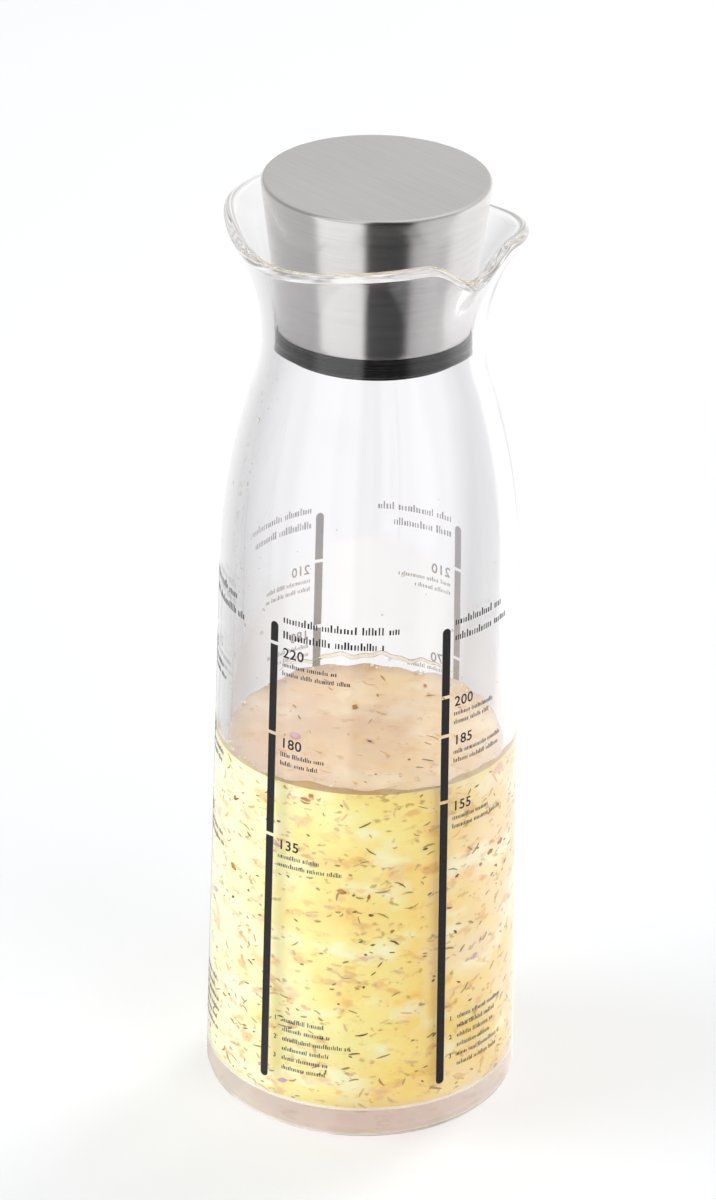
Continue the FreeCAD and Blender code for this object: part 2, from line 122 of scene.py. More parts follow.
# The straight taper of the glass, and the circles that follow it smoothly.
taper = math.atan2(BASE_R - BELLY_R, BELLY_Z - FOOT)
out_x = math.cos(taper)
out_y = math.sin(taper)
foot_r = FOOT / (1 + out_y)
foot_x = BASE_R - out_x * foot_r
neck_x = NECK_R + NECK_ROUND
to_x = neck_x - BELLY_R
to_y = NECK_Z - BELLY_Z
shoulder_r = (to_x ** 2 + to_y ** 2 - NECK_ROUND ** 2) / (2 * (NECK_ROUND - to_x * out_x - to_y * out_y))
shoulder_x = BELLY_R - out_x * shoulder_r
shoulder_z = BELLY_Z - out_y * shoulder_r
shoulder_turn = math.atan2(NECK_Z - shoulder_z, neck_x - shoulder_x)
flare_x = NECK_R + FLARE_ROUND
corner_z = FLOOR_Z + FLOOR_ROUND
corner_x = BELLY_R - (WALL + FLOOR_ROUND + (corner_z - BELLY_Z) * out_y) / out_x


def wall_radius(z, inset=0.0):
    """Radius of the glass at a height below the lip; inset moves in from the outside."""
    if z <= BELLY_Z - inset * out_y:
        return BELLY_R + (BELLY_Z - z) * out_y / out_x - inset / out_x
    if z <= shoulder_z + (shoulder_r - inset) * math.sin(shoulder_turn):
        return shoulder_x + math.sqrt((shoulder_r - inset) ** 2 - (z - shoulder_z) ** 2)
    if z <= NECK_Z:
        return neck_x - math.sqrt((NECK_ROUND + inset) ** 2 - (z - NECK_Z) ** 2)
    return flare_x - math.sqrt((FLARE_ROUND + inset) ** 2 - (z - NECK_Z) ** 2)


def inner_radius(z, grip=0.0):
    """Radius of the space inside at a height; grip reaches into the glass."""
    if z >= corner_z:
        return wall_radius(z, WALL - grip)
    return corner_x + math.sqrt(max((FLOOR_ROUND + grip) ** 2 - (corner_z - z) ** 2, 0))


def volume_below(z, slices=200):
    """Millilitres that the glass holds up to a height."""
    thick = (z - FLOOR_Z) / slices
    areas = [math.pi * inner_radius(FLOOR_Z + (i + 0.5) * thick) ** 2 for i in range(slices)]
    return sum(areas) * thick / 1000


def rim_rise(away):
    """Height of the wavy rim above the neck, at an angle away from the spout."""
    for (first, low), (last, high) in zip(RIM_STOPS, RIM_STOPS[1:]):
        if away < last:
            return low + (high - low) * (1 - math.cos(math.pi * (away - first) / (last - first))) / 2
    return RIM_STOPS[-1][1]


def spout_pull(away):
    """How far the rim is drawn out at the spout, and pinched in beside it."""
    drawn = REACH * math.exp(-(away / SPREAD) ** 2)
    return drawn - PINCH * math.exp(-((away - PINCH_ANGLE) / PINCH_SPREAD) ** 2)


def spread_out(low, high, count):
    """Evenly spaced values from low to high."""
    return [low + (high - low) * i / count for i in range(count + 1)]


def arc(center, radius, first, last, count):
    """Points of an arc between two directions, given in radians."""
    return [(center[0] + radius * math.cos(a), center[1] + radius * math.sin(a))
            for a in spread_out(first, last, count)]


def glass_section(degrees):
    """Outline of the glass at one angle from the spout, from the punt round to the floor."""
    away = abs((degrees + 180) % 360 - 180)
    rise = rim_rise(away)
    pull = spout_pull(away)
    lean = math.asin(rise / FLARE_ROUND)
    punt_r = BASE_R - FOOT - RING_WIDTH
    punt_round = (punt_r ** 2 + PUNT ** 2) / (2 * PUNT)
    line = [(r, PUNT - punt_round + math.sqrt(punt_round ** 2 - r ** 2)) for r in spread_out(0, punt_r, 8)]
    line += arc((foot_x, foot_r), foot_r, -math.pi / 2, taper, 14)
    line += [(wall_radius(z), z) for z in spread_out(FOOT, NECK_Z + LIP_RISE, 96)[1:]]
    for share in spread_out(0, 1, 24)[1:]:
        up = LIP_RISE + share * (rise - LIP_RISE)
        line.append((flare_x - math.sqrt(FLARE_ROUND ** 2 - up ** 2) + pull * share ** 2, NECK_Z + up))
    edge_x, edge_z = line[-1]
    for turn in spread_out(0, math.pi, 14)[1:]:
        along = WALL / 2 * (1 - math.cos(turn))
        above = WALL / 2 * math.sin(turn)
        line.append((edge_x - math.cos(lean) * along + math.sin(lean) * above,
                     edge_z + math.sin(lean) * along + math.cos(lean) * above))
    inner_rise = line[-1][1] - NECK_Z
    for share in spread_out(1, 0, 24)[1:]:
        up = LIP_RISE + share * (inner_rise - LIP_RISE)
        inner = flare_x - math.sqrt((FLARE_ROUND + WALL) ** 2 - up ** 2)
        line.append((inner + pull * share ** 2, NECK_Z + up))
    straight_end = corner_z + FLOOR_ROUND * out_y
    line += [(wall_radius(z, WALL), z) for z in spread_out(NECK_Z + LIP_RISE, straight_end, 96)[1:]]
    line += arc((corner_x, corner_z), FLOOR_ROUND, taper, -math.pi / 2, 14)[1:]
    line += [(r, FLOOR_Z) for r in spread_out(corner_x, 0, 6)[1:]]
    return line


# Meshes
def finish_mesh(name, points, faces, body, material, sharp=40, thick=0.0):
    """A smooth-shaded piece from points in millimetres, riding on a body."""
    mesh = bpy.data.meshes.new(name)
    mesh.from_pydata([(x * MM, y * MM, z * MM) for x, y, z in points], [], faces)
    build = bmesh.new()
    build.from_mesh(mesh)
    bmesh.ops.remove_doubles(build, verts=build.verts, dist=1e-8)
    if thick:
        bmesh.ops.solidify(build, geom=build.faces[:], thickness=thick * MM)
    bmesh.ops.recalc_face_normals(build, faces=build.faces)
    build.to_mesh(mesh)
    build.free()
    mesh.shade_smooth()
    mesh.set_sharp_from_angle(angle=math.radians(sharp))
    mesh.materials.append(material)
    piece = bpy.data.objects.new(name, mesh)
    bpy.context.scene.collection.objects.link(piece)
    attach(piece, body)
    return piece


def spun(name, section, body, material, closed=False, sharp=40):
    """A turned piece; section gives its (radius, height) points at each angle."""
    lines = [section(360 * i / STEPS) for i in range(STEPS)]
    count = len(lines[0])
    points = []
    for i, line in enumerate(lines):
        turn = 2 * math.pi * i / STEPS
        points += [(r * math.cos(turn), r * math.sin(turn), z) for r, z in line]
    faces = []
    for i in range(STEPS):
        here = i * count
        beside = (i + 1) % STEPS * count
        for k in range(count if closed else count - 1):
            n = (k + 1) % count
            if lines[0][k][0] == 0:
                faces.append([here + k, beside + n, here + n])
            elif lines[0][n][0] == 0:
                faces.append([here + k, beside + k, here + n])
            else:
                faces.append([here + k, beside + k, beside + n, here + n])
    return finish_mesh(name, points, faces, body, material, sharp)


def outline(points):
    """A section that is the same at every angle."""
    return lambda degrees: points


# Materials
def srgb(text):
    """A colour written as six hex digits, in linear light."""
    parts = [int(text[i:i + 2], 16) / 255 for i in (0, 2, 4)]
    return tuple(c / 12.92 if c <= 0.04045 else ((c + 0.055) / 1.055) ** 2.4 for c in parts)


def new_material(name):
    """A material with its nodes, links and main shader."""
    material = bpy.data.materials.new(name)
    material.use_nodes = True
    nodes = material.node_tree.nodes
    return material, nodes, material.node_tree.links, nodes["Principled BSDF"]


def add_noise(nodes, links, scale, detail=4.0, stretch=(1, 1, 1), rough=0.5, shift=0.0):
    """Noise over the object's own coordinates."""
    coords = nodes.new("ShaderNodeTexCoord")
    mapping = nodes.new("ShaderNodeMapping")
    mapping.inputs["Scale"].default_value = stretch
    mapping.inputs["Location"].default_value = (shift, shift, shift)
    noise = nodes.new("ShaderNodeTexNoise")
    noise.inputs["Scale"].default_value = scale
    noise.inputs["Detail"].default_value = detail
    noise.inputs["Roughness"].default_value = rough
    links.new(coords.outputs["Object"], mapping.inputs["Vector"])
    links.new(mapping.outputs["Vector"], noise.inputs["Vector"])
    return noise.outputs["Fac"]


def add_ramp(nodes, links, source, stops):
    """A colour ramp; a stop is a place with a colour or a grey level."""
    ramp = nodes.new("ShaderNodeValToRGB")
    while len(ramp.color_ramp.elements) < len(stops):
        ramp.color_ramp.elements.new(0.5)
    for element, (place, color) in zip(ramp.color_ramp.elements, stops):
        element.position = place
        element.color = (*color, 1) if isinstance(color, tuple) else (color, color, color, 1)
    links.new(source, ramp.inputs["Fac"])
    return ramp.outputs["Color"]


def add_math(nodes, links, operation, first, second):
    """A sum, product or the like of two sockets, or of a socket and a number."""
    step = nodes.new("ShaderNodeMath")
    step.operation = operation
    for socket, value in zip(step.inputs, (first, second)):
        if isinstance(value, (int, float)):
            socket.default_value = value
        else:
            links.new(value, socket)
    return step.outputs["Value"]


def add_tint(nodes, links, base, share, color):
    """The base colour, with another colour where share is high."""
    mix = nodes.new("ShaderNodeMix")
    mix.data_type = "RGBA"
    links.new(share, mix.inputs["Factor"])
    links.new(base, mix.inputs["A"])
    mix.inputs["B"].default_value = (*color, 1)
    return mix.outputs["Result"]


def add_bump(nodes, links, source, shader, strength, distance):
    """Fine relief on a shader."""
    bump = nodes.new("ShaderNodeBump")
    bump.inputs["Strength"].default_value = strength
    bump.inputs["Distance"].default_value = distance
    links.new(source, bump.inputs["Height"])
    links.new(bump.outputs["Normal"], shader.inputs["Normal"])


def add_shader_mix(nodes, links, share, first, second, target):
    """Two shaders mixed into a target socket."""
    mix = nodes.new("ShaderNodeMixShader")
    links.new(share, mix.inputs["Fac"])
    links.new(first, mix.inputs[1])
    links.new(second, mix.inputs[2])
    links.new(mix.outputs["Shader"], target)


def let_light_through(material, rays, share, color):
    """Lets a share of the light of some kinds of ray pass straight through."""
    nodes = material.node_tree.nodes
    links = material.node_tree.links
    path = nodes.new("ShaderNodeLightPath")
    passing = path.outputs[rays[0]]
    for ray in rays[1:]:
        passing = add_math(nodes, links, "MAXIMUM", passing, path.outputs[ray])
    if share < 1:
        passing = add_math(nodes, links, "MULTIPLY", passing, share)
    clear = nodes.new("ShaderNodeBsdfTransparent")
    clear.inputs["Color"].default_value = (*color, 1)
    add_shader_mix(nodes, links, passing, nodes["Principled BSDF"].outputs["BSDF"],
                   clear.outputs["BSDF"], nodes["Material Output"].inputs["Surface"])


def end_long_paths(material, most, low, high):
    """Light caught in the glass for very many turns ends in streaks of the levels that such light has."""
    nodes = material.node_tree.nodes
    links = material.node_tree.links
    path = nodes.new("ShaderNodeLightPath")
    caught = add_math(nodes, links, "GREATER_THAN", path.outputs["Ray Depth"], most)
    painted_glow = nodes.new("ShaderNodeEmission")
    streaks = add_noise(nodes, links, 90, 3, (1, 1, 0.4))
    links.new(add_ramp(nodes, links, streaks, [(0.38, low), (0.6, high)]), painted_glow.inputs["Color"])
    target = nodes["Material Output"].inputs["Surface"]
    shown = target.links[0].from_socket
    add_shader_mix(nodes, links, caught, shown, painted_glow.outputs["Emission"], target)


def glass_material():
    """Thick pressed glass: slow waves in the surface, and a trace of grey."""
    material, nodes, links, shader = new_material("clear_glass")
    shader.inputs["Base Color"].default_value = (0.985, 0.98, 0.99, 1)
    shader.inputs["Transmission Weight"].default_value = 1
    shader.inputs["IOR"].default_value = 1.5
    wave = add_noise(nodes, links, 30, 2, (1, 1, 0.3))
    add_bump(nodes, links, wave, shader, 0.45, 0.0006)
    smear = add_noise(nodes, links, 60, 6)
    links.new(add_ramp(nodes, links, smear, [(0.35, 0.0), (0.8, 0.03)]), shader.inputs["Roughness"])
    let_light_through(material, ("Is Shadow Ray", "Is Diffuse Ray"), 1, (0.97, 0.97, 0.98))
    end_long_paths(material, LONG_PATH, (0.42, 0.40, 0.38), (0.98, 0.97, 0.96))
    return material


def steel_material(name, stretch, rough_low, rough_high, drawn, turn):
    """Brushed steel: fine lines, and gloss drawn out in the direction of turn."""
    material, nodes, links, shader = new_material(name)
    shader.inputs["Metallic"].default_value = 1
    line = add_noise(nodes, links, 60, 8, stretch, 0.65)
    tone = add_ramp(nodes, links, line, [(0.3, srgb("dbd9d7")), (0.7, srgb("e5e3e1"))])
    links.new(tone, shader.inputs["Base Color"])
    rough = add_ramp(nodes, links, line, [(0.3, rough_low), (0.75, rough_high)])
    links.new(rough, shader.inputs["Roughness"])
    add_bump(nodes, links, line, shader, 0.06, 0.00004)
    shader.inputs["Anisotropic"].default_value = drawn
    shader.inputs["Anisotropic Rotation"].default_value = turn
    return material


def plastic_material(name, dark, light, rough, grain):
    """Moulded or printed black with a fine grain."""
    material, nodes, links, shader = new_material(name)
    noise = add_noise(nodes, links, grain, 5)
    links.new(add_ramp(nodes, links, noise, [(0.3, dark), (0.7, light)]), shader.inputs["Base Color"])
    spread = add_ramp(nodes, links, noise, [(0.3, rough - 0.06), (0.7, rough + 0.06)])
    links.new(spread, shader.inputs["Roughness"])
    add_bump(nodes, links, noise, shader, 0.15, 0.00004)
    shader.inputs["Specular IOR Level"].default_value = 0.14
    return material


def enamel_material():
    """Baked print: black outside, and a paler grey on the side that lies on the glass."""
    material, nodes, links, shader = new_material("black_enamel")
    grain = add_noise(nodes, links, 1500, 5)
    outside = add_ramp(nodes, links, grain, [(0.3, srgb("1b1819")), (0.7, srgb("262223"))])
    coords = nodes.new("ShaderNodeTexCoord")
    level = nodes.new("ShaderNodeVectorMath")
    level.operation = "MULTIPLY"
    level.inputs[1].default_value = (1, 1, 0)
    links.new(coords.outputs["Object"], level.inputs[0])
    outwards = nodes.new("ShaderNodeVectorMath")
    outwards.operation = "NORMALIZE"
    links.new(level.outputs["Vector"], outwards.inputs[0])
    facing = nodes.new("ShaderNodeVectorMath")
    facing.operation = "DOT_PRODUCT"
    links.new(outwards.outputs["Vector"], facing.inputs[0])
    links.new(coords.outputs["Normal"], facing.inputs[1])
    inside = add_ramp(nodes, links, facing.outputs["Value"], [(0.0, 1.0), (0.5, 0.0)])
    links.new(add_tint(nodes, links, outside, inside, srgb("a09e9e")), shader.inputs["Base Color"])
    links.new(add_ramp(nodes, links, grain, [(0.3, 0.3), (0.7, 0.4)]), shader.inputs["Roughness"])
    add_bump(nodes, links, grain, shader, 0.15, 0.00004)
    shader.inputs["Specular IOR Level"].default_value = 0.3
    return material


def dressing_material(name, sides, rough, mottle=1.0, painted_glow=0.0):
    """Cloudy dressing with painted light from side to side, a pale glow on one side and beige on the other, a
    painted glow of its own when a glow strength is given, and pale, tan, olive and rosy bits deep in it.
    """
    material, nodes, links, shader = new_material(name)
    # Painted light: the colours run across the bottle along the camera's right, from a pale painted glow on the
    # left to beige on the right.
    coords = nodes.new("ShaderNodeTexCoord")
    across = nodes.new("ShaderNodeVectorMath")
    across.operation = "DOT_PRODUCT"
    reach = 1 / (2 * BASE_R * MM)
    across.inputs[1].default_value = (-math.sin(CAMERA_SIDE) * reach, math.cos(CAMERA_SIDE) * reach, 0)
    links.new(coords.outputs["Object"], across.inputs[0])
    cloud = add_noise(nodes, links, 55, 3, (1, 1, 1.25), 0.55)
    place = add_math(nodes, links, "ADD", across.outputs["Value"], cloud)
    color = add_ramp(nodes, links, place, list(zip((0.1, 0.4, 0.65, 0.95), [srgb(side) for side in sides])))
    bits = (
        (90, 3, 0.0, (0.54, 0.68), 0.60, "fffbe0"),
        (70, 3, 5.2, (0.63, 0.74), 0.60, "f2ac4a"),
        (230, 3, 1.3, (0.58, 0.68), 0.50, "dca964"),
        (420, 3, 2.7, (0.62, 0.70), 0.60, "9c8444"),
        (150, 3, 4.1, (0.62, 0.73), 0.50, "d6a496"),
    )
    for scale, detail, shift, (low, high), share, shade in bits:
        spots = add_noise(nodes, links, scale, detail, (1, 1, 1.7), 0.5, shift)
        amount = add_ramp(nodes, links, spots, [(low, 0.0), (high, share * mottle)])
        color = add_tint(nodes, links, color, amount, srgb(shade))
    links.new(color, shader.inputs["Base Color"])
    # Painted glow: the dressing's colour is also given out as light, at the glow strength.
    links.new(color, shader.inputs["Emission Color"])
    shader.inputs["Emission Strength"].default_value = painted_glow
    shader.inputs["Roughness"].default_value = rough
    shader.inputs["Subsurface Weight"].default_value = 0.6
    shader.inputs["Subsurface Radius"].default_value = (1.0, 0.75, 0.3)
    shader.inputs["Subsurface Scale"].default_value = 0.006
    shader.inputs["IOR"].default_value = 1.4
    fine = add_noise(nodes, links, 420, 4)
    add_bump(nodes, links, fine, shader, 0.1, 0.0002)
    let_light_through(material, ("Is Shadow Ray",), 0.75, (1.0, 0.98, 0.94))
    return material


def bit_material(name, dark, light, rough=0.5):
    """Chopped herb, spice or onion."""
    material, nodes, links, shader = new_material(name)
    noise = add_noise(nodes, links, 700, 3)
    tone = add_ramp(nodes, links, noise, [(0.35, srgb(dark)), (0.65, srgb(light))])
    links.new(tone, shader.inputs["Base Color"])
    shader.inputs["Roughness"].default_value = rough
    return material


def drop_material():
    """Thin watery dressing that clings to the glass."""
    material, nodes, links, shader = new_material("thin_dressing")
    shader.inputs["Transmission Weight"].default_value = 1
    shader.inputs["IOR"].default_value = 1.34
    haze = add_noise(nodes, links, 300, 3)
    links.new(add_ramp(nodes, links, haze, [(0.3, 0.02), (0.7, 0.12)]), shader.inputs["Roughness"])
    links.new(add_ramp(nodes, links, haze, [(0.3, srgb("fbf7ec")), (0.7, srgb("f2ead6"))]),
              shader.inputs["Base Color"])
    let_light_through(material, ("Is Shadow Ray", "Is Diffuse Ray"), 1, (0.95, 0.94, 0.9))
    return material


glass = glass_material()
steel_side = steel_material("steel_side", (1, 1, 40), 0.2, 0.26, 0.8, 0.25)
steel_top = steel_material("steel_top", (1, 30, 1), 0.38, 0.46, 0.3, 0)
black_plastic = plastic_material("black_plastic", 0.010, 0.018, 0.42, 700)
black_rubber = plastic_material("black_rubber", 0.006, 0.012, 0.34, 1100)
enamel = enamel_material()
# Each list of colours runs from the painted glow on one side to beige on the other.
dressing = dressing_material("dressing", ("fff8cc", "ffec9e", "ffdb84", "f8e0b8"), 0.3)
dressing_top = dressing_material("dressing_top", ("e4cbb0", "e4c6a2", "ecd0a4", "ead0b2"), 0.22, 0.45)
# A darker copy for the edge of the dressing against the glass: painted shade.
dressing_edge_painted_shade = dressing_material("dressing_edge_painted_shade", ("d4bc88", "c4a06c", "ccaa78", "dcc49c"), 0.3, 0.5)
# A paler, glowing copy for the underside of the dressing: painted light.
dressing_foot_painted_glow = dressing_material("dressing_foot_painted_glow", ("fff2e4", "ffeada", "ffe8dc", "ffeee6"), 0.3, 0.5, 0.14)
herb_dark = bit_material("herb_dark", "5a4c20", "7c6c36")
herb_olive = bit_material("herb_olive", "988444", "b89c5c")
herb_pale = bit_material("herb_pale", "dcb67c", "ecce96")
spice = bit_material("spice", "a86420", "cc8838", 0.4)
onion = bit_material("onion", "c8a2b4", "dcb4a8", 0.35)
foam = bit_material("foam", "f3e2be", "fff4d8", 0.25)
drops = drop_material()


# Bottle
bottle = spun("bottle_glass", glass_section, "carafe", glass, sharp=60)
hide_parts("glass_carafe")


# Stopper
def steel_cap():
    """The tapered cap of thin sheet: flat top, rounded edge, thin hemmed lower edge."""
    low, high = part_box("cap_shell")
    edge_z = low.z / MM
    top_z = high.z / MM
    top_r = high.y / MM
    spread = 3.7
    sheet = 0.6
    edge_round = 0.8
    hem = 0.08
    edge_r = top_r - spread
    lean = math.atan2(spread, top_z - edge_z)
    round_z = top_z - edge_round
    round_x = top_r - edge_round * math.tan(lean) - edge_round / math.cos(lean)

    def side_r(z):
        return edge_r + (z - edge_z) * math.tan(lean)

    line = [(0, top_z)]
    line += [(r, top_z) for r in spread_out(2, round_x - edge_round, 10)]
    line += arc((round_x, round_z), edge_round, math.pi / 2, -lean, 10)
    side_top = round_z - edge_round * math.sin(lean)
    line += [(side_r(z), z) for z in spread_out(side_top, edge_z + sheet / 2, 24)[1:]]
    line += [(edge_r - hem, edge_z + hem), (edge_r - sheet / 2, edge_z), (edge_r - sheet + hem, edge_z + hem)]
    line += [(side_r(z) - sheet, z) for z in spread_out(edge_z + sheet / 2, round_z, 6)]
    line += [(side_r(top_z) - 2 * sheet, top_z - sheet), (0, top_z - sheet)]
    cap = spun("steel_cap", outline(line), "stopper", steel_side, sharp=50)
    cap.data.materials.append(steel_top)
    for polygon in cap.data.polygons:
        if polygon.normal.z > 0.9:
            polygon.material_index = 1
    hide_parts("cap_shell")


def rubber_seal():
    """The soft seal: two rounded lips with a valley between them."""
    low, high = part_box("seal_ring")
    bottom = low.z / MM
    top = high.z / MM
    outer = high.y / MM
    bore = 15.25
    lip = 0.45
    line = [(bore, top), (bore, bottom), (outer - lip, bottom)]
    line += arc((outer - lip, bottom + lip), lip, math.radians(-80), math.radians(80), 10)
    line += [(outer - lip, (bottom + top) / 2)]
    line += arc((outer - lip, top - lip), lip, math.radians(-80), math.radians(80), 10)
    line += [(outer - lip, top)]
    seal = spun("rubber_seal", outline(line), "seal", black_rubber, closed=True)
    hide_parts("seal_ring")


def dress_node(name, material):
    """A solid whose own shape shows, in a better material."""
    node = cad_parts[name]
    node.data.materials.clear()
    node.data.materials.append(material)


steel_cap()
rubber_seal()
dress_node("plug_core", black_plastic)
dress_node("plug_cover", black_plastic)
for number in range(1, 6):
    dress_node("scale_bar_%d" % number, enamel)


# Dressing
def edge_height(turn):
    """Height where the dressing meets the glass: it climbs a little, unevenly."""
    uneven = 0.35 * math.sin(5 * turn) + 0.25 * math.sin(11 * turn + 1) + 0.2 * math.sin(23 * turn + 2)
    return LEVEL + EDGE_RISE + uneven


def dressing_section(degrees):
    """Outline of the dressing against the glass, up to its edge."""
    bottom = FLOOR_Z - GRIP
    line = [(r, bottom) for r in spread_out(0, corner_x, 6)]
    line += arc((corner_x, corner_z), FLOOR_ROUND + GRIP, -math.pi / 2, taper, 12)[1:]
    top = edge_height(math.radians(degrees))
    line += [(inner_radius(z, GRIP), z) for z in spread_out(corner_z + 1, EDGE_SHADE, 40)]
    line += [(inner_radius(z, GRIP), z) for z in spread_out(EDGE_SHADE, top, 3)[1:]]
    return line


def surface_section(degrees):
    """Outline of the top of the dressing: faint ripples, and a raised edge."""
    turn = math.radians(degrees)
    edge = edge_height(turn)
    full = inner_radius(edge, GRIP)
    line = []
    for share in spread_out(0, 1, 30):
        r = full * share
        lift = (edge - LEVEL) * math.exp(-(full - r) / 1.1)
        ripple = 0.12 * math.sin(0.9 * r + 2 * turn) * math.sin(3 * turn + 0.35 * r) * (1 - share)
        line.append((r, LEVEL + lift + ripple * min(1, r / 6)))
    return line


def on_wall(turn, z, across, up, grip):
    """A point on the inside of the glass, some way across and up from a spot."""
    height = min(max(z + up, FLOOR_Z + 1), LEVEL + 1)
    r = inner_radius(height, grip)
    where = turn + across / r
    return (r * math.cos(where), r * math.sin(where), height)


def on_top(turn, away, across, up):
    """A point on the top of the dressing, some way across and up from a spot."""
    x = away * math.cos(turn) + across
    y = away * math.sin(turn) + up
    return (x, y, LEVEL + 0.1)


def strand(chance, long_most, wide):
    """Flat outline pairs of a bent strand, as a strip of quads."""
    length = long_most * (0.25 + 0.75 * chance.random() ** 2)
    bend = chance.uniform(-0.3, 0.3)
    thick = wide * chance.uniform(0.5, 1.2)
    parts = 6
    pairs = []
    for k in range(parts + 1):
        u = length * (k / parts - 0.5)
        v = bend * (length / 4 - u * u / length) * 2 + chance.uniform(-0.1, 0.1) * thick
        half = thick / 2 * (0.25 + 0.75 * math.sin(math.pi * (k + 0.5) / (parts + 1)))
        pairs.append(((u, v - half), (u, v + half)))
    return pairs


def chip(chance, long_most, wide):
    """Flat outline pairs of an irregular chip, as a strip of quads."""
    length = long_most * chance.uniform(0.35, 1.0)
    thick = wide * chance.uniform(0.5, 1.2)
    parts = 6
    pairs = []
    for k in range(parts + 1):
        u = length * (k / parts - 0.5)
        full = math.sin(math.pi * (k + 0.6) / (parts + 1.2))
        low = -thick / 2 * full * chance.uniform(0.6, 1.3)
        high = thick / 2 * full * chance.uniform(0.6, 1.3)
        pairs.append(((u, low), (u, high)))
    return pairs


def scatter(name, material, shape, counts, seed, long_most, wide, lean=32):
    """Many bits against the glass, and some on the top of the dressing."""
    chance = random.Random(seed)
    against, afloat = counts
    points = []
    faces = []
    for number in range(against + afloat):
        turn = chance.uniform(0, 2 * math.pi)
        z = chance.uniform(FLOOR_Z + 2, LEVEL)
        away = (inner_radius(LEVEL) - 3) * math.sqrt(chance.random())
        tilt = math.radians(chance.gauss(0, lean))
        first = len(points)
        pairs = shape(chance, long_most, wide)
        for pair in pairs:
            for u, v in pair:
                across = u * math.cos(tilt) - v * math.sin(tilt)
                up = u * math.sin(tilt) + v * math.cos(tilt)
                if number < against:
                    points.append(on_wall(turn, z, across, up, FLAKE_GRIP))
                else:
                    points.append(on_top(turn, away, across, up))
        for k in range(len(pairs) - 1):
            a = first + 2 * k
            faces.append([a, a + 2, a + 3, a + 1])
    return finish_mesh(name, points, faces, "carafe", material, thick=FLAKE_THICK)


def add_ball(points, faces, center, radius, flat, turn):
    """A small ball, flattened along the direction out from the axis."""
    rings = 5
    sides = 8
    first = len(points)
    out = (math.cos(turn), math.sin(turn))
    for i in range(rings + 1):
        polar = math.pi * i / rings
        for k in range(sides):
            a = 2 * math.pi * k / sides
            outwards = radius * flat * math.cos(polar)
            sidewards = radius * math.sin(polar) * math.cos(a)
            upwards = radius * math.sin(polar) * math.sin(a)
            points.append((center[0] + outwards * out[0] - sidewards * out[1],
                           center[1] + outwards * out[1] + sidewards * out[0],
                           center[2] + upwards))
    for i in range(rings):
        for k in range(sides):
            a = first + i * sides + k
            b = first + i * sides + (k + 1) % sides
            faces.append([a, b, b + sides, a + sides])


def foam_ring():
    """Small bubbles where the dressing meets the glass."""
    chance = random.Random(21)
    points = []
    faces = []
    for number in range(170):
        turn = chance.uniform(0, 2 * math.pi)
        radius = 0.1 + 0.3 * chance.random() ** 3
        z = edge_height(turn) - chance.uniform(0, 0.9)
        r = inner_radius(z) - radius * 0.8 - 0.5 * chance.random() ** 2
        add_ball(points, faces, (r * math.cos(turn), r * math.sin(turn), z), radius, 0.85, turn)
    finish_mesh("foam_ring", points, faces, "carafe", foam)


def clinging_drops():
    """Drops of thin dressing above the level, most of them on the side it was poured along."""
    chance = random.Random(23)
    points = []
    faces = []
    for number in range(150):
        if number % 3 == 0:
            turn = chance.uniform(0, 2 * math.pi)
            z = LEVEL + 2.5 + 50 * chance.random() ** 3
        else:
            turn = math.radians(chance.gauss(-126, 16))
            z = LEVEL + 4 + 72 * chance.random()
        radius = 0.14 + 0.4 * chance.random() ** 3
        r = inner_radius(z) - radius * 0.2
        add_ball(points, faces, (r * math.cos(turn), r * math.sin(turn), z), radius, 0.4, turn)
    finish_mesh("clinging_drops", points, faces, "carafe", drops)


def tide_line():
    """A wavy bead of thin dressing, left on the glass a little above the level."""
    middle = CAMERA_SIDE + math.pi
    sides = 8
    points = []
    faces = []
    for i, share in enumerate(spread_out(-1, 1, 90)):
        turn = middle + 0.75 * share
        z = LEVEL + 3.3 + 0.4 * math.sin(17 * turn) + 0.2 * math.sin(41 * turn + 1)
        radius = 0.5 * math.sqrt(1.02 - share ** 2)
        for k in range(sides):
            a = 2 * math.pi * k / sides
            r = inner_radius(z) - 0.2 * radius + 0.5 * radius * math.cos(a)
            points.append((r * math.cos(turn), r * math.sin(turn), z + radius * math.sin(a)))
            if i:
                here = i * sides
                before = here - sides
                faces.append([before + k, before + (k + 1) % sides, here + (k + 1) % sides, here + k])
    last = len(points) - sides
    faces += [list(range(sides)), list(range(last, last + sides))]
    finish_mesh("tide_line", points, faces, "carafe", drops)


body = spun("dressing_body", dressing_section, "carafe", dressing, sharp=80)
body.data.materials.append(dressing_foot_painted_glow)
body.data.materials.append(dressing_edge_painted_shade)
# Painted light and shade: the underside gets the paler glowing copy, and the rim against the glass the darker
# copy.
for polygon in body.data.polygons:
    if polygon.center.z < FOOT_LIGHT * MM:
        polygon.material_index = 1
    elif polygon.center.z > EDGE_SHADE * MM:
        polygon.material_index = 2
spun("dressing_surface", surface_section, "carafe", dressing_top, sharp=80)
scatter("herb_strands", herb_dark, strand, (130, 5), 3, 2.7, 0.3)
scatter("herb_chips", herb_dark, chip, (110, 3), 4, 1.1, 0.5)
scatter("olive_strands", herb_olive, strand, (330, 14), 5, 2.9, 0.36)
scatter("pale_strands", herb_pale, strand, (360, 24), 6, 3.2, 0.6)
scatter("spice_chips", spice, chip, (34, 2), 7, 2.2, 1.1)
scatter("onion_chips", onion, chip, (22, 2), 9, 4.4, 1.5, lean=20)
foam_ring()
clinging_drops()
tide_line()


# Printed scales
def on_glass(theta, z, across, up):
    """A point of the print, bent round the outside of the glass."""
    r = wall_radius(z + up) + PRINT_LIFT
    where = math.radians(theta) + across / r
    return (r * math.cos(where), r * math.sin(where), z + up)


